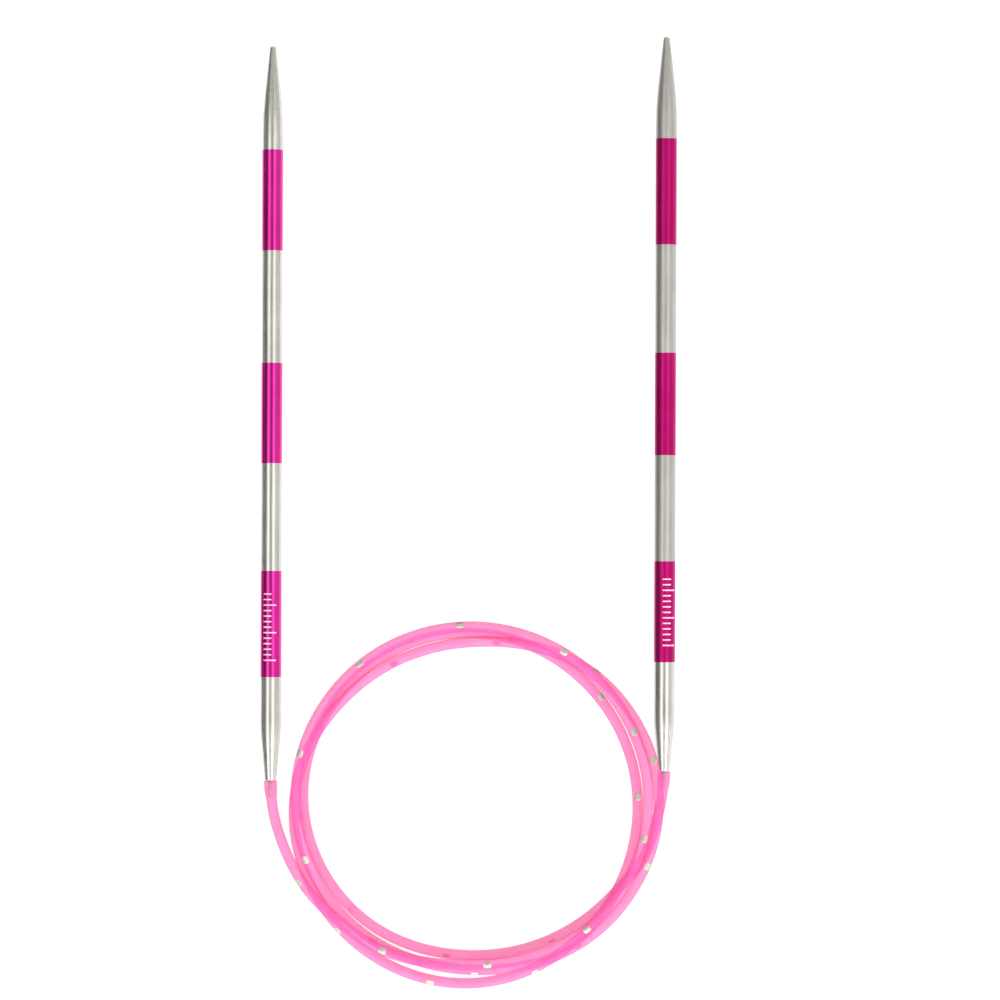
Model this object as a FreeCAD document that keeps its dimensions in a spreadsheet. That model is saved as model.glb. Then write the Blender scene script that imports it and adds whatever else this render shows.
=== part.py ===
import FreeCAD, Part
import math
import os

import Sketcher

# A fixed circular knitting needle, lying coiled on a table.  Two aluminium needles, each with three
# coloured bands, stand side by side along +Y with their points towards +Y.  A limp cord joins their
# rear ends through 3.5 loose turns.  Millimetres.
# Origin: bottom centre of the two needles' box, on the table.  +Y runs towards the points, +Z up.

# Driving dimensions: alias, value, meaning.
SIZES = [
    ("needle_length", 140.0, "mouth to point"),
    ("needle_spacing", 75.0, "between the two needles' axes"),
    ("left_mouth", -71.0, "Y of the left needle's mouth"),
    ("right_mouth", -69.0, "Y of the right needle's mouth"),
    ("axis_height", 2.0, "needle axis above the table"),
    ("band_radius", 2.0, "coloured bands, the 4.00 mm gauge"),
    ("bare_radius", 1.97, "bare metal between the bands"),
    ("groove_radius", 1.90, "floor of the groove under a band"),
    ("cone_start_radius", 0.62, "where the rounded end meets the cone"),
    ("cone_start", 0.40, "from the point to the cone's start"),
    ("cone_end_radius", 1.55, "where the cone starts to ease out"),
    ("cone_end", 9.0, "from the point to the cone's end"),
    ("ease_end", 16.8, "from the point to the full shank"),
    ("shoulder_start", 11.1, "from the mouth to the full shank"),
    ("tail_start", 8.0, "from the mouth to the tail cone"),
    ("tail_start_radius", 1.83, "tail cone, at the shoulder"),
    ("mouth_radius", 1.10, "tail cone, at the mouth"),
    ("socket_radius", 0.85, "bore in the tail"),
    ("socket_depth", 5.0, "bore in the tail"),
    ("bush_bore", 0.50, "bush's bore radius"),
    ("bush_length", 2.2, "bush, flush with the mouth"),
    ("pin_radius", 0.45, "swivel pin's shank, which turns in the bush"),
    ("head_radius", 0.77, "swivel pin's head, behind the bush"),
    ("head_start", 2.26, "from the mouth to the head"),
    ("head_end", 3.40, "from the mouth to the head's far face"),
    ("barb_radius", 0.62, "barb that grips the cord's bore"),
    ("barb_start", -2.6, "from the mouth, inside the cord"),
    ("barb_end", -1.8, "from the mouth, inside the cord"),
    ("pin_end", -3.2, "end of the pin, inside the cord"),
    ("cord_radius", 1.0, "cord"),
    ("coil_centre_across", 1.0, "X of the coil's outer circle"),
    ("coil_centre_along", -75.6, "Y of the coil's outer circle"),
    ("coil_outer", 35.5, "radius of the coil's outer circle"),
    ("eye_centre_across", 1.1, "X of the coil's inner circle"),
    ("eye_centre_along", -74.7, "Y of the coil's inner circle"),
    ("eye_radius", 30.0, "radius of the coil's inner circle"),
    ("coil_height", 6.1, "coil, above the table"),
    ("coil_rounding", 1.2, "edges of the coil"),
    # Bands, measured from the point.
    ("left_front_start", 19.9, "left needle, band next to the point"),
    ("left_front_finish", 39.1, ""),
    ("left_middle_start", 60.5, "left needle, middle band"),
    ("left_middle_finish", 79.6, ""),
    ("left_rear_start", 100.1, "left needle, band next to the cord"),
    ("left_rear_finish", 120.3, ""),
    ("right_front_start", 19.5, "right needle, band next to the point"),
    ("right_front_finish", 39.7, ""),
    ("right_middle_start", 60.3, "right needle, middle band"),
    ("right_middle_finish", 79.8, ""),
    ("right_rear_start", 100.0, "right needle, band next to the cord"),
    ("right_rear_finish", 119.2, ""),
]

SIDES = ("left", "right")
BANDS = ("front", "middle", "rear")

# Routes of the two free stretches of cord: the axis, from just clear of each mouth, where the needle
# turns against it, to inside the coil.
LEFT_ROUTE = [
    (-37.5, -71.1, 2.0), (-37.4, -75.2, 2.0), (-35.9, -81.4, 1.7), (-33.2, -87.7, 2.1),
    (-29.4, -93.3, 3.1), (-23.4, -98.6, 3.4),
]
RIGHT_ROUTE = [
    (37.5, -69.1, 2.0), (37.4, -72.6, 1.9), (36.4, -77.8, 1.3), (34.9, -83.2, 1.02), (32.6, -87.6, 1.0),
]
# Each arc's tangent points stand this share of the shorter run from its corner.
ARC_SHARE = 0.45

document = FreeCAD.newDocument("CircularNeedle")
sheet = document.addObject("Spreadsheet::Sheet", "Sizes")
for row, (alias, number, meaning) in enumerate(SIZES, start=1):
    sheet.set(f"A{row}", alias)
    sheet.set(f"B{row}", str(number))
    sheet.set(f"C{row}", meaning)
    sheet.setAlias(f"B{row}", alias)
document.recompute()
size = {alias: number for alias, number, meaning in SIZES}


def cell(alias):
    """The expression that reads one cell."""
    return f"Sizes.{alias}"


def from_point(alias):
    """Height above the mouth of a place whose cell counts from the point."""
    return f"Sizes.needle_length - Sizes.{alias}"


def place_at_needle(obj, side):
    """Put an object drawn about its own +Y axis, from the mouth, onto one needle's axis."""
    sign = "-" if side == "left" else ""
    obj.setExpression("Placement.Base.x", f"{sign}Sizes.needle_spacing / 2")
    obj.setExpression("Placement.Base.y", f"Sizes.{side}_mouth")
    obj.setExpression("Placement.Base.z", "Sizes.axis_height")


def origin_plane(body, role):
    """One of a body's own origin planes."""
    return next(feature for feature in body.Origin.OriginFeatures if feature.Role == role)


def turned_body(name, outline, side):
    """A solid of revolution about +Y.

    outline lists (radius, height) expressions round the half section.  A third expression makes the
    edge to the next corner an arc that bulges outwards, and gives the arc's radius.
    """
    body = document.addObject("PartDesign::Body", name)
    body.Label = name
    sketch = body.newObject("Sketcher::SketchObject", f"{name}_outline")
    sketch.AttachmentSupport = (origin_plane(body, "XY_Plane"), [""])
    sketch.MapMode = "FlatFace"
    corners = [
        FreeCAD.Vector(sheet.evalExpression(corner[0]), sheet.evalExpression(corner[1]), 0)
        for corner in outline
    ]
    count = len(outline)
    for index, corner in enumerate(outline):
        start = corners[index]
        end = corners[(index + 1) % count]
        if len(corner) == 3:
            radius = sheet.evalExpression(corner[2])
            chord = end - start
            rise = radius - math.sqrt(radius ** 2 - chord.Length ** 2 / 4)
            outward = FreeCAD.Vector(-chord.y, chord.x, 0).normalize()
            if outward.x < 0:
                outward = outward * -1
            # A sketch keeps its arcs counter-clockwise, so this one runs from its lower end.
            sketch.addGeometry(Part.Arc(end, (start + end) / 2 + outward * rise, start), False)
        else:
            sketch.addGeometry(Part.LineSegment(start, end), False)
    ends = {}
    for index, geometry in enumerate(sketch.Geometry):
        swapped = geometry.StartPoint.distanceToPoint(corners[index]) > 1e-6
        ends[index] = (2, 1) if swapped else (1, 2)
    for index, corner in enumerate(outline):
        following = (index + 1) % count
        joint = (index, ends[index][1], following, ends[following][0])
        sketch.addConstraint(Sketcher.Constraint("Coincident", *joint))
        for kind, axis, expression in (("DistanceX", 0, corner[0]), ("DistanceY", 1, corner[1])):
            position = corners[index][axis]
            if abs(position) < 1e-9:
                line = -2 if axis == 0 else -1
                sketch.addConstraint(Sketcher.Constraint("PointOnObject", index, ends[index][0], line))
                continue
            number = sketch.addConstraint(
                Sketcher.Constraint(kind, -1, 1, index, ends[index][0], position))
            sketch.renameConstraint(number, f"corner_{index}_{kind}")
            sketch.setExpression(f"Constraints.corner_{index}_{kind}", expression)
        if len(corner) == 3:
            number = sketch.addConstraint(
                Sketcher.Constraint("Radius", index, sheet.evalExpression(corner[2])))
            sketch.renameConstraint(number, f"arc_{index}")
            sketch.setExpression(f"Constraints.arc_{index}", corner[2])
    turned = body.newObject("PartDesign::Revolution", f"{name}_turned")
    turned.Profile = sketch
    turned.ReferenceAxis = (sketch, ["V_Axis"])
    turned.Angle = 360
    place_at_needle(body, side)
    return body


def arc_radius(along, drop):
    """Radius expression of an arc that starts tangentially, runs along and drops by the given sizes."""
    return f"(({along}) ^ 2 + ({drop}) ^ 2) / (2 * ({drop}))"


def make_shaft(side):
    """Needle: rounded point, cone, ogive, grooved shank, tapered tail and drilled socket."""
    bare = cell("bare_radius")
    groove = cell("groove_radius")
    rounded_end = arc_radius("Sizes.cone_start_radius", "Sizes.cone_start")
    ogive = arc_radius(
        "Sizes.ease_end - Sizes.cone_end", "Sizes.bare_radius - Sizes.cone_end_radius")
    shoulder = arc_radius(
        "Sizes.shoulder_start - Sizes.tail_start", "Sizes.bare_radius - Sizes.tail_start_radius")
    outline = [
        ("0", cell("needle_length"), rounded_end),
        (cell("cone_start_radius"), from_point("cone_start")),
        (cell("cone_end_radius"), from_point("cone_end"), ogive),
        (bare, from_point("ease_end")),
    ]
    for band in BANDS:
        start = from_point(f"{side}_{band}_start")
        finish = from_point(f"{side}_{band}_finish")
        outline += [(bare, start), (groove, start), (groove, finish), (bare, finish)]
    outline += [
        (bare, cell("shoulder_start"), shoulder),
        (cell("tail_start_radius"), cell("tail_start")),
        (cell("mouth_radius"), "0"),
        (cell("socket_radius"), "0"),
        (cell("socket_radius"), cell("socket_depth")),
        ("0", cell("socket_depth")),
    ]
    return turned_body(f"{side}_shaft", outline, side)


def make_band(side, band):
    """Coloured band: a thin ring let into its groove, and just proud of the bare metal."""
    start = from_point(f"{side}_{band}_start")
    finish = from_point(f"{side}_{band}_finish")
    outline = [
        (cell("groove_radius"), finish), (cell("band_radius"), finish),
        (cell("band_radius"), start), (cell("groove_radius"), start),
    ]
    return turned_body(f"{side}_{band}_band", outline, side)


def make_bush(side):
    """Bush pressed into the mouth: the swivel pin turns in it, and its head can't pass."""
    outline = [
        (cell("bush_bore"), "0"), (cell("socket_radius"), "0"),
        (cell("socket_radius"), cell("bush_length")), (cell("bush_bore"), cell("bush_length")),
    ]
    return turned_body(f"{side}_mouth_bush", outline, side)


def make_pin(side):
    """Headed pin on the cord's end: head in the socket, shank in the bush, barb in the cord."""
    shank = cell("pin_radius")
    outline = [
        ("0", cell("head_end")), (cell("head_radius"), cell("head_end")),
        (cell("head_radius"), cell("head_start")), (shank, cell("head_start")),
        (shank, cell("barb_end")), (cell("barb_radius"), cell("barb_end")),
        (shank, cell("barb_start")), (shank, cell("pin_end")), ("0", cell("pin_end")),
    ]
    return turned_body(f"{side}_swivel_pin", outline, side)


def tube_along(name, route):
    """A plain round tube along straight runs joined by tangent arcs."""
    points = [FreeCAD.Vector(*point) for point in route]
    edges = []
    radii = []
    last = points[0]
    for before, corner, after in zip(points, points[1:], points[2:]):
        inward = (corner - before).normalize()
        outward = (after - corner).normalize()
        half_turn = inward.getAngle(outward) / 2
        reach = ARC_SHARE * min((corner - before).Length, (after - corner).Length)
        radius = reach / math.tan(half_turn)
        radii.append(radius)
        start = corner - inward * reach
        end = corner + outward * reach
        to_centre = (outward - inward).normalize()
        middle = corner + to_centre * (radius / math.cos(half_turn) - radius)
        edges.append(Part.LineSegment(last, start).toShape())
        edges.append(Part.Arc(start, middle, end).toShape())
        last = end
    edges.append(Part.LineSegment(last, points[-1]).toShape())
    path = Part.Wire(edges)
    heading = (points[1] - points[0]).normalize()
    section = Part.Wire(Part.makeCircle(size["cord_radius"], points[0], heading))
    tube = document.addObject("Part::Feature", name)
    tube.Label = name
    tube.Shape = path.makePipeShell([section], True, False)
    expected = math.pi * size["cord_radius"] ** 2 * path.Length
    print(f"{name}: length {path.Length:.2f}, volume {tube.Shape.Volume:.2f} of {expected:.2f},",
          "radii", [round(radius, 1) for radius in radii])
    return tube


def make_coil():
    """The loose turns of cord as one closed ring: two circles that aren't concentric."""
    body = document.addObject("PartDesign::Body", "cord_coil")
    body.Label = "cord_coil"
    sketch = body.newObject("Sketcher::SketchObject", "coil_outline")
    sketch.AttachmentSupport = (origin_plane(body, "XY_Plane"), [""])
    sketch.MapMode = "FlatFace"
    circles = (
        ("outer", "coil_centre_across", "coil_centre_along", "coil_outer"),
        ("eye", "eye_centre_across", "eye_centre_along", "eye_radius"),
    )
    for index, (name, across, along, radius) in enumerate(circles):
        centre = FreeCAD.Vector(size[across], size[along], 0)
        sketch.addGeometry(Part.Circle(centre, FreeCAD.Vector(0, 0, 1), size[radius]), False)
        places = (("DistanceX", size[across], across), ("DistanceY", size[along], along))
        for kind, position, alias in places:
            number = sketch.addConstraint(Sketcher.Constraint(kind, -1, 1, index, 3, position))
            sketch.renameConstraint(number, f"{name}_{kind}")
            sketch.setExpression(f"Constraints.{name}_{kind}", cell(alias))
        number = sketch.addConstraint(Sketcher.Constraint("Radius", index, size[radius]))
        sketch.renameConstraint(number, f"{name}_radius")
        sketch.setExpression(f"Constraints.{name}_radius", cell(radius))
    pad = body.newObject("PartDesign::Pad", "coil_pad")
    pad.Profile = sketch
    pad.setExpression("Length", cell("coil_height"))
    document.recompute()
    rounding = body.newObject("PartDesign::Fillet", "coil_fillet")
    round_edges = [
        f"Edge{number}" for number, edge in enumerate(pad.Shape.Edges, start=1)
        if isinstance(edge.Curve, Part.Circle)
    ]
    rounding.Base = (pad, round_edges)
    rounding.setExpression("Radius", cell("coil_rounding"))
    return body


subparts = []
for side in SIDES:
    subparts.append(make_shaft(side))
    for band in BANDS:
        subparts.append(make_band(side, band))
    subparts.append(make_bush(side))
    subparts.append(make_pin(side))
subparts.append(tube_along("left_cord_lead", LEFT_ROUTE))
subparts.append(tube_along("right_cord_lead", RIGHT_ROUTE))
subparts.append(make_coil())
document.recompute()

for obj in document.Objects:
    if "Invalid" in obj.State or "Error" in obj.State:
        raise RuntimeError(f"{obj.Label} failed: {obj.State}")
for subpart in subparts:
    shape = subpart.Shape
    if shape.isNull() or not shape.isValid() or shape.Volume <= 0:
        raise RuntimeError(f"{subpart.Label} has no valid solid")

os.makedirs("parts", exist_ok=True)
for subpart in subparts:
    subpart.Shape.exportStep(f"parts/{subpart.Label}.step")
    box = subpart.Shape.BoundBox
    print(f"{subpart.Label}: {len(subpart.Shape.Solids)} solid, {subpart.Shape.Volume:.2f} mm3, "
          f"X {box.XMin:.2f} {box.XMax:.2f} Y {box.YMin:.2f} {box.YMax:.2f} "
          f"Z {box.ZMin:.2f} {box.ZMax:.2f}")
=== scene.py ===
import math
import random

import bmesh
import bpy
import numpy as np
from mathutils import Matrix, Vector


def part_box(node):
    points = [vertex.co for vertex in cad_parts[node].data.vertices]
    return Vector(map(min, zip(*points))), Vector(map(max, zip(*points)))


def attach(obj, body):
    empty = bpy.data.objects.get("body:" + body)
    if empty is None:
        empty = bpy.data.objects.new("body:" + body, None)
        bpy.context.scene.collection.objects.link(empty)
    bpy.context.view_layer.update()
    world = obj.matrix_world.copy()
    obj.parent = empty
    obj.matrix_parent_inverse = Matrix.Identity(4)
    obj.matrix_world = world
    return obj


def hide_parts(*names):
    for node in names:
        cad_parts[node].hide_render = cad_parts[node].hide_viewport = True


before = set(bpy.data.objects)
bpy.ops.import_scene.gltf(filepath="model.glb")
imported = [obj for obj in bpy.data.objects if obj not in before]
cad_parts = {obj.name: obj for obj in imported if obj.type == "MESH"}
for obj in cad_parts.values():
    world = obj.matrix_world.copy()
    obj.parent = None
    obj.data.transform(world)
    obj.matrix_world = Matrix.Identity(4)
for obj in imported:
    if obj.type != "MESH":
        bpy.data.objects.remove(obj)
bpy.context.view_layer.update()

# A fixed circular knitting needle lying on a white table. The origin is on the table midway between
# the two needles, +Y runs towards their points, +Z up. Sizes are in millimetres until MM scales them.
MM = 0.001

# ---------------------------------------------------------------------------- cord: sizes and route
CORD_RADIUS = 1.0
# Free stretches, from each mouth to where the cord joins the coil.  The same points as in the CAD.
LEFT_ROUTE = [
    (-37.5, -71.1, 2.0), (-37.4, -75.2, 2.0), (-35.9, -81.4, 1.7), (-33.2, -87.7, 2.1),
    (-29.4, -93.3, 3.1), (-23.4, -98.6, 3.4),
]
RIGHT_ROUTE = [
    (37.5, -69.1, 2.0), (37.4, -72.6, 1.9), (36.4, -77.8, 1.3), (34.9, -83.2, 1.02), (32.6, -87.6, 1.0),
]
# Loose turns between them, anticlockwise seen from above: the coil's centre, and its radius at every
# eighth of a turn from the lower left on, turn after turn.
COIL_CENTRE = (0.7, -74.3)
FIRST_EIGHTH = 225.0
EIGHTH = 45.0
TURN_RADII = [
    34.3, 31.55, 33.25, 33.75, 33.05, 32.7, 33.0, 33.3,
    33.1, 32.7, 34.9, 35.8, 33.4, 29.7, 30.3, 33.6,
    35.2, 35.4, 33.4, 31.8, 31.0, 31.5, 31.8, 32.0,
    31.0, 30.0, 31.9, 36.0,
]
# Where the loose turns begin and end, how finely their plan is sampled (degrees), and how many of the
# samples there are to each control point of the spline.
COIL_START = 237.0
COIL_END = 1407.0
SAMPLE_STEP = 3.0
SAMPLES_PER_POINT = 4
# The needles' tapered tails, which the cord lies over. They hold it up from a little behind the mouth.
TAIL_LENGTH = 11.0
TAIL_OVERHANG = 1.5
MOUTH_RADIUS = 1.1
TAIL_SLOPE = 0.0913
# Where a turn lies over another, their centrelines stand this far apart.
REST_GAP = 2.02
# Turns this far apart along the cord can lie on each other.
TURN_APART = 30.0
# The cord's stiffness and weight in each step of settling, and the number of steps.
STIFFNESS = 1 / 16
WEIGHT = 0.0006
SETTLING_STEPS = 3000
# Lifts in each step, steps along a free stretch per control point, and its points that stay held.
LIFTS_PER_STEP = 2
STRETCH_STEP = 0.25
HELD_POINTS = 5
# The cord's end is stretched over the pin in the needle's mouth.
FLARE_RADIUS = 1.22
FLARE_LENGTH = 4.0
FLARE_EASE = 2.4
# Spacing of the tube's rings, points round each, and points of the spline per control point.
RING_STEP = 0.5
RING_SIDES = 24
SPLINE_STEPS = 10


def coil_radius(angle):
    """Radius of the coil at an angle that keeps counting over its turns, in degrees."""
    place = (angle - FIRST_EIGHTH) / EIGHTH
    index = min(max(int(math.floor(place)), 0), len(TURN_RADII) - 2)
    part = place - index
    before = TURN_RADII[max(index - 1, 0)]
    start = TURN_RADII[index]
    end = TURN_RADII[index + 1]
    after = TURN_RADII[min(index + 2, len(TURN_RADII) - 1)]
    return 0.5 * (
        2 * start + (end - before) * part
        + (2 * before - 5 * start + 4 * end - after) * part ** 2
        + (3 * start - before - 3 * end + after) * part ** 3)


def coil_plan():
    """The loose turns seen from above, finely spaced."""
    points = []
    for angle in np.arange(COIL_START, COIL_END + SAMPLE_STEP / 2, SAMPLE_STEP):
        turn = math.radians(angle)
        radius = coil_radius(angle)
        points.append((COIL_CENTRE[0] + radius * math.cos(turn), COIL_CENTRE[1] + radius * math.sin(turn)))
    return np.array(points)


def needle_tops(plan):
    """Lowest height at which the cord clears a needle's tapered tail."""
    tops = np.zeros(len(plan))
    for side, route in (("left", LEFT_ROUTE), ("right", RIGHT_ROUTE)):
        mouth = Vector(route[0])
        for index, (x, y) in enumerate(plan):
            inside = y - mouth.y
            if not -TAIL_OVERHANG < inside < TAIL_LENGTH:
                continue
            reach = MOUTH_RADIUS + TAIL_SLOPE * max(inside, 0.0) + CORD_RADIUS
            aside = abs(x - mouth.x)
            if aside < reach:
                tops[index] = max(tops[index], mouth.z + math.sqrt(reach ** 2 - aside ** 2))
    return tops


def stretch_plan(route):
    """A free stretch's points, as finely spaced as the loose turns'."""
    steps = np.arange(0, len(route) - 1 + STRETCH_STEP / 2, STRETCH_STEP)
    return np.array([
        [np.interp(step, range(len(route)), [point[axis] for point in route]) for axis in range(3)]
        for step in steps])


def settled_heights(plan):
    """Heights of the loose turns: each settles on the table, a needle's tail or the turns after it."""
    before = stretch_plan(LEFT_ROUTE)
    after = stretch_plan(RIGHT_ROUTE[::-1])
    places = np.vstack([before[:, :2], plan, after[:, :2]])
    along = np.concatenate([[0], np.cumsum(np.linalg.norm(np.diff(places, axis=0), axis=1))])
    apart = np.linalg.norm(places[:, None, :] - places[None, :, :], axis=2)
    lies_on = (apart < REST_GAP) & (along[None, :] - along[:, None] > TURN_APART)
    lift = np.where(lies_on, np.sqrt(np.maximum(REST_GAP ** 2 - apart ** 2, 0)), -np.inf)
    floor = np.concatenate([
        np.full(len(before), CORD_RADIUS), np.maximum(needle_tops(plan), CORD_RADIUS),
        np.full(len(after), CORD_RADIUS)])
    heights = np.concatenate([before[:, 2], np.full(len(plan), CORD_RADIUS), after[:, 2]])
    held = np.ones(len(heights), bool)
    held[HELD_POINTS:-HELD_POINTS] = False
    start = heights.copy()
    for _ in range(SETTLING_STEPS):
        bend = np.zeros(len(heights))
        bend[2:-2] = heights[4:] - 4 * heights[3:-1] + 6 * heights[2:-2] - 4 * heights[1:-3] + heights[:-4]
        heights = heights - STIFFNESS * bend - WEIGHT
        for _ in range(LIFTS_PER_STEP):
            heights = np.maximum(heights, np.maximum((heights[None, :] + lift).max(axis=1), floor))
        heights[held] = start[held]
    return heights[len(before):len(before) + len(plan)]


def cord_route():
    """Control points of the whole cord, from the left mouth to the right one."""
    plan = coil_plan()
    heights = settled_heights(plan)
    # A smooth spline passes inside its control points, so they stand a little further out.
    outset = 1 / (0.75 + 0.25 * math.cos(math.radians(SAMPLE_STEP * SAMPLES_PER_POINT)))
    middle = []
    for (x, y), z in list(zip(plan, heights))[::SAMPLES_PER_POINT]:
        middle.append((
            COIL_CENTRE[0] + (x - COIL_CENTRE[0]) * outset,
            COIL_CENTRE[1] + (y - COIL_CENTRE[1]) * outset, z))
    return LEFT_ROUTE + middle + RIGHT_ROUTE[::-1]


def spline_points(name, route):
    """Points along the smooth spline whose control points are the route, in metres."""
    curve = bpy.data.curves.new(name, "CURVE")
    curve.dimensions = "3D"
    curve.resolution_u = SPLINE_STEPS
    spline = curve.splines.new("NURBS")
    spline.points.add(len(route) - 1)
    for point, place in zip(spline.points, route):
        point.co = (*(Vector(place) * MM), 1)
    spline.order_u = 3
    spline.use_endpoint_u = True
    holder = bpy.data.objects.new(name, curve)
    bpy.context.scene.collection.objects.link(holder)
    bpy.context.view_layer.update()
    line = bpy.data.meshes.new_from_object(holder)
    points = np.array([vertex.co[:] for vertex in line.vertices])
    bpy.data.objects.remove(holder)
    bpy.data.curves.remove(curve)
    bpy.data.meshes.remove(line)
    return points


class Path:
    """A line with a frame at every place along it."""

    def __init__(self, points, step):
        lengths = np.concatenate([[0], np.cumsum(np.linalg.norm(np.diff(points, axis=0), axis=1))])
        keep = np.concatenate([[True], np.diff(lengths) > 1e-9])
        points = points[keep]
        lengths = lengths[keep]
        self.length = float(lengths[-1])
        count = int(round(self.length / step)) + 1
        self.places = np.linspace(0, self.length, count)
        self.points = np.stack([np.interp(self.places, lengths, points[:, axis]) for axis in range(3)], 1)
        tangents = np.gradient(self.points, axis=0)
        self.tangents = tangents / np.linalg.norm(tangents, axis=1)[:, None]

    def at(self, place):
        """Point, direction, outward side and upward side at a place along the line."""
        point = Vector([np.interp(place, self.places, self.points[:, axis]) for axis in range(3)])
        along = Vector([np.interp(place, self.places, self.tangents[:, axis]) for axis in range(3)])
        along.normalize()
        # The coil runs anticlockwise, so its outside is on the right of its direction.
        outward = along.cross(Vector((0, 0, 1))).normalized()
        return point, along, outward, outward.cross(along).normalized()


def cord_radius_at(place, length):
    """Radius of the cord: stretched over the pin at each end, even elsewhere (metres)."""
    from_end = min(place, length - place) / MM
    ease = min(max((from_end - FLARE_LENGTH + FLARE_EASE) / FLARE_EASE, 0.0), 1.0)
    ease = ease * ease * (3 - 2 * ease)
    return (FLARE_RADIUS + (CORD_RADIUS - FLARE_RADIUS) * ease) * MM


def new_object(name, mesh_builder, material):
    """An object made of a bmesh, with one material."""
    mesh = bpy.data.meshes.new(name)
    mesh_builder.normal_update()
    mesh_builder.to_mesh(mesh)
    mesh_builder.free()
    mesh.materials.append(material)
    piece = bpy.data.objects.new(name, mesh)
    bpy.context.scene.collection.objects.link(piece)
    return piece


def build_cord(path, material):
    """The cord as one closed tube of rings along its line."""
    tube = bmesh.new()
    rings = []
    for place in path.places:
        point, along, outward, upward = path.at(place)
        radius = cord_radius_at(place, path.length)
        rings.append([
            tube.verts.new(point + (outward * math.cos(turn) + upward * math.sin(turn)) * radius)
            for turn in np.linspace(0, 2 * math.pi, RING_SIDES, endpoint=False)
        ])
    for before, after in zip(rings, rings[1:]):
        for side in range(RING_SIDES):
            following = (side + 1) % RING_SIDES
            face = tube.faces.new((before[side], after[side], after[following], before[following]))
            face.smooth = True
    tube.faces.new(rings[0])
    tube.faces.new(rings[-1][::-1])
    bmesh.ops.recalc_face_normals(tube, faces=tube.faces)
    return new_object("cord", tube, material)


# ---------------------------------------------------------------------------- materials
def node_material(name):
    """A new material, its nodes, its links and its Principled shader."""
    material = bpy.data.materials.new(name)
    material.use_nodes = True
    nodes = material.node_tree.nodes
    return material, nodes, material.node_tree.links, nodes["Principled BSDF"]


def mix_colours(nodes, links, blend, first, second):
    """A colour mix of two sockets, or of a socket and a plain colour."""
    mix = nodes.new("ShaderNodeMix")
    mix.data_type = "RGBA"
    mix.blend_type = blend
    mix.inputs["Factor"].default_value = 1.0
    for name, source in (("A", first), ("B", second)):
        socket = [each for each in mix.inputs if each.name == name and each.type == "RGBA"][0]
        if isinstance(source, tuple):
            socket.default_value = source
        else:
            links.new(source, socket)
    return MixedColour(mix)


class MixedColour:
    """A colour mix's own sockets, which share their names with those of its other kinds."""

    def __init__(self, mix):
        self.inputs = {"Factor": [each for each in mix.inputs if each.type == "VALUE"][0]}
        self.outputs = {"Result": [each for each in mix.outputs if each.type == "RGBA"][0]}


# Metal drawn along Y: noise scales of its streaks and clouds, their shares in the colour, the spread of
# its roughness, and the depth of its relief in metres.
STREAK_SCALES = (5200.0, 90.0, 5200.0)
CLOUD_SCALE = 160.0
STREAK_SHARE = 0.55
CLOUD_SHARE = 0.45
SMOOTHER = 0.05
ROUGHER = 0.06
RELIEF_DEPTH = 0.00002
COAT_ROUGHNESS = 0.15


def drawn_metal(name, dark, light, roughness, bump, metallic=1.0, coat=0.0):
    """Metal with fine streaks along its length in colour, roughness and relief."""
    material, nodes, links, shader = node_material(name)
    coordinates = nodes.new("ShaderNodeTexCoord")
    mapping = nodes.new("ShaderNodeMapping")
    mapping.inputs["Scale"].default_value = STREAK_SCALES
    links.new(coordinates.outputs["Object"], mapping.inputs["Vector"])
    streaks = nodes.new("ShaderNodeTexNoise")
    streaks.inputs["Scale"].default_value = 1.0
    streaks.inputs["Detail"].default_value = 4.0
    links.new(mapping.outputs["Vector"], streaks.inputs["Vector"])
    clouds = nodes.new("ShaderNodeTexNoise")
    clouds.inputs["Scale"].default_value = CLOUD_SCALE
    clouds.inputs["Detail"].default_value = 3.0
    links.new(coordinates.outputs["Object"], clouds.inputs["Vector"])
    blend = nodes.new("ShaderNodeMath")
    blend.operation = "MULTIPLY_ADD"
    blend.inputs[1].default_value = STREAK_SHARE
    links.new(streaks.outputs["Fac"], blend.inputs[0])
    cloudy = nodes.new("ShaderNodeMath")
    cloudy.operation = "MULTIPLY"
    cloudy.inputs[1].default_value = CLOUD_SHARE
    links.new(clouds.outputs["Fac"], cloudy.inputs[0])
    links.new(cloudy.outputs[0], blend.inputs[2])
    tint = nodes.new("ShaderNodeValToRGB")
    tint.color_ramp.elements[0].position = 0.36
    tint.color_ramp.elements[0].color = (*dark, 1)
    tint.color_ramp.elements[1].position = 0.62
    tint.color_ramp.elements[1].color = (*light, 1)
    links.new(blend.outputs[0], tint.inputs["Fac"])
    links.new(tint.outputs["Color"], shader.inputs["Base Color"])
    rough = nodes.new("ShaderNodeMapRange")
    rough.inputs["From Min"].default_value = 0.3
    rough.inputs["From Max"].default_value = 0.7
    rough.inputs["To Min"].default_value = roughness - SMOOTHER
    rough.inputs["To Max"].default_value = roughness + ROUGHER
    links.new(streaks.outputs["Fac"], rough.inputs["Value"])
    links.new(rough.outputs["Result"], shader.inputs["Roughness"])
    relief = nodes.new("ShaderNodeBump")
    relief.inputs["Strength"].default_value = bump
    relief.inputs["Distance"].default_value = RELIEF_DEPTH
    links.new(streaks.outputs["Fac"], relief.inputs["Height"])
    links.new(relief.outputs["Normal"], shader.inputs["Normal"])
    shader.inputs["Metallic"].default_value = metallic
    shader.inputs["Coat Weight"].default_value = coat
    shader.inputs["Coat Roughness"].default_value = COAT_ROUGHNESS
    return material


# For this length from the mouth, the metal behind the rear band is smoother and painted lighter, as painted
# light on the tail.
LIT_TAIL_LENGTH = 22.0


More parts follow.
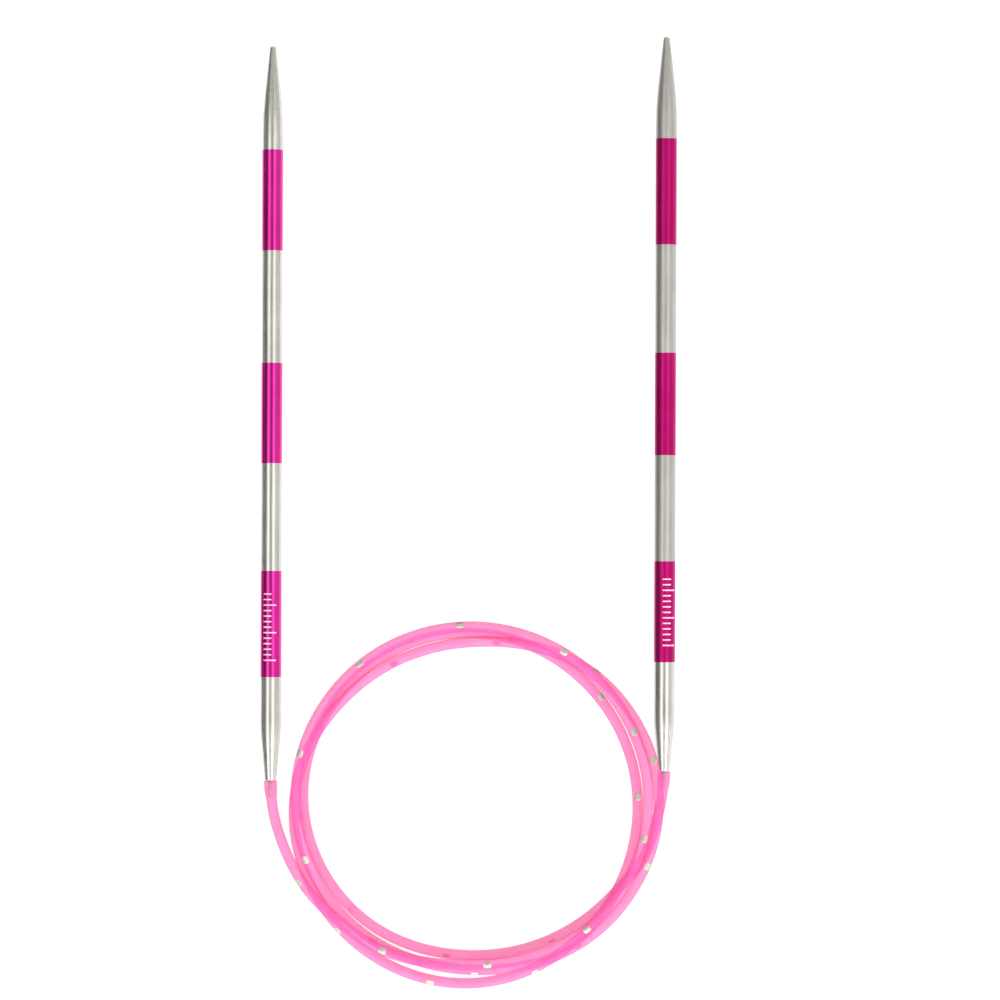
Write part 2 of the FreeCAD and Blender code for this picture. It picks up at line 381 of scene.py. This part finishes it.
def paint_lit_tail(material, node, dark, light, gloss):
    """Paints a needle's metal lighter behind its rear band, as painted light on its tail, and makes it
    smoother there.
    """
    nodes = material.node_tree.nodes
    links = material.node_tree.links
    shader = nodes["Principled BSDF"]
    rear = min(corner[1] for corner in node.bound_box)
    coordinates = nodes.new("ShaderNodeTexCoord")
    parts = nodes.new("ShaderNodeSeparateXYZ")
    links.new(coordinates.outputs["Object"], parts.inputs[0])
    tail = nodes.new("ShaderNodeMapRange")
    tail.inputs["From Min"].default_value = rear + LIT_TAIL_LENGTH * MM
    tail.inputs["From Max"].default_value = rear + (LIT_TAIL_LENGTH + 1) * MM
    tail.inputs["To Min"].default_value = 1.0
    tail.inputs["To Max"].default_value = 0.0
    links.new(parts.outputs["Y"], tail.inputs["Value"])
    tint = [each for each in nodes if each.type == "VALTORGB"][0]
    bright = nodes.new("ShaderNodeValToRGB")
    for place, element in enumerate(bright.color_ramp.elements):
        element.position = tint.color_ramp.elements[place].position
        element.color = (*(dark, light)[place], 1)
    links.new(tint.inputs["Fac"].links[0].from_socket, bright.inputs["Fac"])
    colour = mix_colours(nodes, links, "MIX", tint.outputs["Color"], bright.outputs["Color"])
    links.new(tail.outputs["Result"], colour.inputs["Factor"])
    links.new(colour.outputs["Result"], shader.inputs["Base Color"])
    smooth = nodes.new("ShaderNodeMath")
    smooth.operation = "MULTIPLY_ADD"
    smooth.inputs[1].default_value = -gloss
    links.new(tail.outputs["Result"], smooth.inputs[0])
    links.new(shader.inputs["Roughness"].links[0].from_socket, smooth.inputs[2])
    links.new(smooth.outputs[0], shader.inputs["Roughness"])


# The cord's vinyl: its deeper and paler pink, how much it hides, and the tint of its skin.
VINYL_DEEP = (0.97, 0.20, 0.53, 1)
VINYL_PALE = (1.0, 0.25, 0.60, 1)
VINYL_ALPHA = 0.55
VINYL_ROUGHNESS = 0.42
VINYL_CLOUD_SCALE = 420.0
SKIN_TINT = (1.0, 0.70, 0.90, 1)
SKIN_IOR = 1.08
SKIN_ROUGHNESS = 0.4


def cord_material():
    """Smooth translucent pink vinyl, a little cloudy."""
    material, nodes, links, shader = node_material("cord_pink_vinyl")
    coordinates = nodes.new("ShaderNodeTexCoord")
    clouds = nodes.new("ShaderNodeTexNoise")
    clouds.inputs["Scale"].default_value = VINYL_CLOUD_SCALE
    clouds.inputs["Detail"].default_value = 4.0
    links.new(coordinates.outputs["Object"], clouds.inputs["Vector"])
    tint = nodes.new("ShaderNodeValToRGB")
    tint.color_ramp.elements[0].position = 0.3
    tint.color_ramp.elements[0].color = VINYL_DEEP
    tint.color_ramp.elements[1].position = 0.7
    tint.color_ramp.elements[1].color = VINYL_PALE
    links.new(clouds.outputs["Fac"], tint.inputs["Fac"])
    links.new(tint.outputs["Color"], shader.inputs["Base Color"])
    relief = nodes.new("ShaderNodeBump")
    relief.inputs["Strength"].default_value = 0.08
    relief.inputs["Distance"].default_value = 0.00005
    links.new(clouds.outputs["Fac"], relief.inputs["Height"])
    links.new(relief.outputs["Normal"], shader.inputs["Normal"])
    shader.inputs["Roughness"].default_value = VINYL_ROUGHNESS
    shader.inputs["Alpha"].default_value = VINYL_ALPHA
    shader.inputs["Specular IOR Level"].default_value = 0.12
    # The skin's tint deepens where it is seen edge on.
    shader.inputs["Coat Weight"].default_value = 1.0
    shader.inputs["Coat IOR"].default_value = SKIN_IOR
    shader.inputs["Coat Roughness"].default_value = SKIN_ROUGHNESS
    shader.inputs["Coat Tint"].default_value = SKIN_TINT
    return material


def foil_material():
    """Silver foil of the distance marks."""
    return drawn_metal("silver_foil", (0.40, 0.39, 0.34), (0.66, 0.65, 0.58), 0.5, 0.3, metallic=0.75)


# ---------------------------------------------------------------------------- marks on the cord
# Size of each dot, how round its corners are (1 is a circle), and how far it stands off the cord.
MARK_LENGTH = 1.5
MARK_WIDTH = 1.35
MARK_ROUNDNESS = 0.6
MARK_LIFT = 0.02
# Points round a dot, and the sizes of its rings from the edge inwards.
MARK_SIDES = 24
MARK_RINGS = (1.0, 0.92, 0.6, 0.25)
# The printed spacing drifts by this much in the first turns, from the fourth dot on and over twenty.
MARK_DRIFT = 1.7
DRIFT_START = 4
DRIFT_SPAN = 20
# Degrees from the top of the cord towards the coil's outside, dot by dot from the left mouth, and how
# far each may stray from that.
MARK_ROLLS = [
    50, 8, 10, 2, 8, 15, 20, 28, 30, 25, 24, 170,
    68, 175, 28, 10, 78, 180, -165, 180, 84, 60, 36, 70,
    180, 12, 35, 180, 150, 180, 150, 180, 165, 180, 180,
]
ROLL_STRAY = 5.0


def build_marks(path, material):
    """Foil dots, evenly spaced along the cord."""
    marks = bmesh.new()
    draw = random.Random(7)
    for number, roll in enumerate(MARK_ROLLS, start=1):
        drift = MARK_DRIFT * MM * max(0.0, math.sin(math.pi * (number - DRIFT_START) / DRIFT_SPAN))
        place = path.length * number / (len(MARK_ROLLS) + 1) + drift
        add_dot(marks, path, place, math.radians(roll + draw.uniform(-ROLL_STRAY, ROLL_STRAY)))
    bmesh.ops.recalc_face_normals(marks, faces=marks.faces)
    return new_object("cord_marks", marks, material)


def squared(value):
    """Turns a circle's cosine or sine into that of a square with round corners."""
    return math.copysign(abs(value) ** MARK_ROUNDNESS, value)


def add_dot(mesh, path, place, roll):
    """One dot: a thin domed patch that follows the cord's surface."""
    radius = CORD_RADIUS * MM
    rings = []

    def on_surface(across, forward, lift):
        point, along, outward, upward = path.at(place + forward)
        turn = roll + across / radius
        return point + (upward * math.cos(turn) + outward * math.sin(turn)) * (radius + lift)

    for share in MARK_RINGS:
        lift = 0.0 if share == 1.0 else MARK_LIFT * MM
        rings.append([
            mesh.verts.new(on_surface(
                MARK_WIDTH / 2 * MM * share * squared(math.cos(turn)),
                MARK_LENGTH / 2 * MM * share * squared(math.sin(turn)), lift))
            for turn in np.linspace(0, 2 * math.pi, MARK_SIDES, endpoint=False)
        ])
    for outer, inner in zip(rings, rings[1:]):
        for side in range(MARK_SIDES):
            following = (side + 1) % MARK_SIDES
            mesh.faces.new((outer[side], outer[following], inner[following], inner[side])).smooth = True
    middle = mesh.verts.new(on_surface(0, 0, MARK_LIFT * MM))
    for side in range(MARK_SIDES):
        mesh.faces.new((rings[-1][side], rings[-1][(side + 1) % MARK_SIDES], middle)).smooth = True


# ---------------------------------------------------------------------------- gauge scale on a needle
# Ticks of the scale: their number, spacing and first place in from the band's rear edge.
SCALE_TICKS = 13
SCALE_PITCH = 1.05
SCALE_INSET = 3.2
# Degrees that a long and a short tick reach round the needle, which ticks are long, and where all begin.
SCALE_LONG = 74.0
SCALE_SHORT = 46.0
SCALE_LONG_EVERY = 5
SCALE_LOW = {"left": -42.0, "right": -12.0}
# Width and height of a tick, and the points along it.
SCALE_LINE = 0.26
SCALE_LIFT = 0.012
SCALE_COLUMNS = 10


def build_scale(side, material):
    """A short plain rule of pale ticks round the top of the rear band."""
    low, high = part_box(f"{side}_rear_band")
    axis = (low + high) / 2
    radius = (high.x - low.x) / 2
    ticks = bmesh.new()
    start = low.y + SCALE_INSET * MM
    for number in range(SCALE_TICKS):
        reach = SCALE_LONG if number % SCALE_LONG_EVERY == 0 else SCALE_SHORT
        centre = start + number * SCALE_PITCH * MM
        angles = np.linspace(SCALE_LOW[side], SCALE_LOW[side] + reach, SCALE_COLUMNS)
        rows = []
        for offset, lift in ((-1, 0.0), (-1, 1.0), (1, 1.0), (1, 0.0)):
            rows.append([
                ticks.verts.new((
                    axis.x + math.sin(math.radians(angle)) * (radius + SCALE_LIFT * MM * lift),
                    centre + offset * SCALE_LINE / 2 * MM,
                    axis.z + math.cos(math.radians(angle)) * (radius + SCALE_LIFT * MM * lift)))
                for angle in angles
            ])
        for before, after in zip(rows, rows[1:]):
            for column in range(SCALE_COLUMNS - 1):
                ticks.faces.new((before[column], before[column + 1], after[column + 1], after[column]))
    bmesh.ops.recalc_face_normals(ticks, faces=ticks.faces)
    return new_object(f"{side}_gauge_scale", ticks, material)


# ---------------------------------------------------------------------------- camera, floor and light
# What the camera looks at, its roll in degrees, and the width that it sees at the reference height.
CAMERA_CENTRE = (6.05, -17.45)
CAMERA_ROLL = 0.215
FRAME_WIDTH = 190.33
LENS = 180.0
SENSOR = 36.0
REFERENCE_HEIGHT = 3.2
CLIP_START = 0.01
CLIP_END = 10.0


def make_camera():
    """Camera straight above, with a long lens."""
    data = bpy.data.cameras.new("camera")
    data.lens = LENS
    data.sensor_width = SENSOR
    data.clip_start = CLIP_START
    data.clip_end = CLIP_END
    camera = bpy.data.objects.new("camera", data)
    distance = FRAME_WIDTH * LENS / SENSOR + REFERENCE_HEIGHT
    camera.location = Vector((*CAMERA_CENTRE, distance)) * MM
    camera.rotation_euler = (0, 0, math.radians(CAMERA_ROLL))
    bpy.context.scene.collection.objects.link(camera)
    bpy.context.scene.camera = camera


# The table top glows a little, so that it stays white under the translucent cord. Size in metres.
FLOOR_HALF = 3.0
FLOOR_GREY = 0.36
FLOOR_GLOW = 0.80


def make_floor():
    """A plain white table top."""
    floor = bmesh.new()
    bmesh.ops.create_grid(floor, x_segments=2, y_segments=2, size=FLOOR_HALF)
    material, _, _, shader = node_material("floor_white")
    shader.inputs["Base Color"].default_value = (FLOOR_GREY, FLOOR_GREY, FLOOR_GREY, 1)
    shader.inputs["Roughness"].default_value = 0.9
    shader.inputs["Specular IOR Level"].default_value = 0.1
    shader.inputs["Emission Color"].default_value = (1, 1, 1, 1)
    shader.inputs["Emission Strength"].default_value = FLOOR_GLOW
    piece = new_object("floor", floor, material)


# Brightness of the studio round the needles' axis: degrees from straight up towards +X, level.
STUDIO_BANDS = [
    (-180, 1.0), (-104, 1.0), (-96, 0.14), (-62, 0.15), (-47, 0.5), (-38, 2.15), (-25, 2.15), (-18, 0.52),
    (-10, 0.35), (3, 0.35), (12, 0.62), (19, 2.05), (32, 2.05), (43, 0.72), (100, 0.85), (110, 1.0),
    (180, 1.0),
]
# The same, seen towards the points' end, where there are no bright panels.
STUDIO_POINT_BANDS = [
    (-180, 1.0), (-104, 1.0), (-96, 0.14), (-58, 0.16), (-44, 0.42), (-10, 0.52), (20, 0.50), (60, 0.60),
    (110, 0.9), (180, 1.0),
]
# Share of the points' end's light, and brightness, along the needles: -1 is the cord's side, +1 the points'.
STUDIO_POINT_SHARE = [(-1.0, 0.0), (0.09, 0.0), (0.17, 1.0), (1.0, 1.0)]
STUDIO_ENDS = [(-1.0, 2.6), (-0.5, 2.4), (-0.25, 1.5), (-0.08, 1.0), (0.3, 1.0), (0.6, 1.6), (1.0, 2.0)]
# The brightest level that the ramps can hold, and the light's slight warmth.
LEVEL_CEILING = 3.0
STUDIO_TINT = (1.0, 0.985, 0.965, 1)


def level_ramp(nodes, levels, low, high, ceiling):
    """A colour ramp whose grey is a level, over a range of positions."""
    ramp = nodes.new("ShaderNodeValToRGB")
    elements = ramp.color_ramp.elements
    while len(elements) > 1:
        elements.remove(elements[-1])
    for number, (position, level) in enumerate(levels):
        share = (position - low) / (high - low)
        element = elements[0] if number == 0 else elements.new(share)
        element.position = share
        element.color = (level / ceiling, level / ceiling, level / ceiling, 1)
    return ramp


def make_light():
    """White studio light: broad bright and grey panels round the table, as a soft sky."""
    world = bpy.data.worlds.new("studio")
    bpy.context.scene.world = world
    world.use_nodes = True
    nodes = world.node_tree.nodes
    links = world.node_tree.links
    background = nodes["Background"]
    direction = nodes.new("ShaderNodeTexCoord")
    parts = nodes.new("ShaderNodeSeparateXYZ")
    links.new(direction.outputs["Generated"], parts.inputs[0])
    angle = nodes.new("ShaderNodeMath")
    angle.operation = "ARCTAN2"
    links.new(parts.outputs["X"], angle.inputs[0])
    links.new(parts.outputs["Z"], angle.inputs[1])
    turn = nodes.new("ShaderNodeMapRange")
    turn.inputs["From Min"].default_value = -math.pi
    turn.inputs["From Max"].default_value = math.pi
    links.new(angle.outputs[0], turn.inputs["Value"])
    bands = level_ramp(nodes, STUDIO_BANDS, -180, 180, LEVEL_CEILING)
    links.new(turn.outputs["Result"], bands.inputs["Fac"])
    point_bands = level_ramp(nodes, STUDIO_POINT_BANDS, -180, 180, LEVEL_CEILING)
    links.new(turn.outputs["Result"], point_bands.inputs["Fac"])
    end = nodes.new("ShaderNodeMapRange")
    end.inputs["From Min"].default_value = -1.0
    end.inputs["From Max"].default_value = 1.0
    links.new(parts.outputs["Y"], end.inputs["Value"])
    ends = level_ramp(nodes, STUDIO_ENDS, -1, 1, LEVEL_CEILING)
    links.new(end.outputs["Result"], ends.inputs["Fac"])
    share = level_ramp(nodes, STUDIO_POINT_SHARE, -1, 1, 1)
    links.new(end.outputs["Result"], share.inputs["Fac"])
    around = mix_colours(nodes, links, "MIX", bands.outputs["Color"], point_bands.outputs["Color"])
    links.new(share.outputs["Color"], around.inputs["Factor"])
    both = mix_colours(nodes, links, "MULTIPLY", around.outputs["Result"], ends.outputs["Color"])
    tinted = mix_colours(nodes, links, "MULTIPLY", both.outputs["Result"], STUDIO_TINT)
    links.new(tinted.outputs["Result"], background.inputs["Color"])
    background.inputs["Strength"].default_value = LEVEL_CEILING ** 2
    # Past the table's edge the room is plain white.
    plain = nodes.new("ShaderNodeBackground")
    seen = nodes.new("ShaderNodeLightPath")
    choice = nodes.new("ShaderNodeMixShader")
    links.new(seen.outputs["Is Camera Ray"], choice.inputs["Fac"])
    links.new(background.outputs["Background"], choice.inputs[1])
    links.new(plain.outputs["Background"], choice.inputs[2])
    links.new(choice.outputs["Shader"], nodes["World Output"].inputs["Surface"])
    bpy.context.scene.view_settings.view_transform = "Standard"


# Each card's far and near edges beside the shaft, its reach past the shaft's ends, its height, and its black:
# the cards paint a dark reflection along each needle's edge and are otherwise unseen.
CARD_FAR = 45.0
CARD_NEAR = 6.0
CARD_END = 8.0
CARD_HEIGHT = 0.02
CARD_REFLECTION_BLACK = (0.045, 0.036, 0.032, 1)


def make_reflection_cards():
    """A black card beside each needle, hidden from the camera, from diffuse light and from shadows: it only
    shows as a painted dark reflection along the metal's edge.
    """
    for side in ("left", "right"):
        low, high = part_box(f"{side}_shaft")
        card = bmesh.new()
        corners = [
            (low.x - CARD_FAR * MM, low.y - CARD_END * MM), (low.x - CARD_NEAR * MM, low.y - CARD_END * MM),
            (low.x - CARD_NEAR * MM, high.y + CARD_END * MM), (low.x - CARD_FAR * MM, high.y + CARD_END * MM),
        ]
        card.faces.new([card.verts.new((x, y, CARD_HEIGHT * MM)) for x, y in corners])
        material, _, _, shader = node_material(f"{side}_painted_reflection_card")
        shader.inputs["Base Color"].default_value = CARD_REFLECTION_BLACK
        shader.inputs["Roughness"].default_value = 0.9
        shader.inputs["Specular IOR Level"].default_value = 0.0
        piece = new_object(f"{side}_card", card, material)
        piece.visible_camera = False
        piece.visible_diffuse = False
        piece.visible_transmission = False
        piece.visible_volume_scatter = False
        piece.visible_shadow = False


# ---------------------------------------------------------------------------- build
make_camera()
make_floor()
make_reflection_cards()
make_light()

path = Path(spline_points("cord_route", cord_route()), RING_STEP * MM)
cord = build_cord(path, cord_material())
marks = build_marks(path, foil_material())
# The polished tails don't mirror the coil beside them.
cord.visible_glossy = False
marks.visible_glossy = False
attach(cord, "cord")
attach(marks, "cord")
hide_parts("cord_coil", "left_cord_lead", "right_cord_lead")

# The right needle's aluminium and bands are darker and rougher copies of the left ones; their darker colour
# is painted shade, as the two needles share one finish.
aluminium = {
    "left": drawn_metal("left_satin_aluminium", (0.58, 0.575, 0.535), (0.70, 0.695, 0.65), 0.28, 0.12),
    "right": drawn_metal("right_aluminium_painted_shade", (0.43, 0.425, 0.395), (0.52, 0.515, 0.48), 0.43, 0.12),
}
magenta = {
    "left": drawn_metal("left_magenta_coat", (0.68, 0.026, 0.30), (0.80, 0.040, 0.37), 0.20, 0.05, coat=0.12),
    "right": drawn_metal("right_magenta_painted_shade", (0.43, 0.008, 0.13), (0.53, 0.012, 0.18), 0.38, 0.05),
}
steel = drawn_metal("turned_steel", (0.34, 0.33, 0.33), (0.42, 0.41, 0.41), 0.65, 0.15)
engraving = drawn_metal("pale_engraving", (0.80, 0.52, 0.66), (0.92, 0.68, 0.80), 0.5, 0.2, metallic=0.2)
for name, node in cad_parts.items():
    side = name.split("_")[0]
    if name.endswith("_shaft"):
        finish = aluminium[side]
    elif name.endswith("_band"):
        finish = magenta[side]
    else:
        finish = steel
    node.data.materials.clear()
    node.data.materials.append(finish)
    # The right shaft's tail takes the left needle's lighter colours: painted light where more light falls on
    # it.
    if name == "right_shaft":
        paint_lit_tail(finish, node, (0.58, 0.575, 0.535), (0.70, 0.695, 0.65), 0.15)
for side in ("left", "right"):
    scale = build_scale(side, engraving)
    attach(scale, f"{side}_needle")
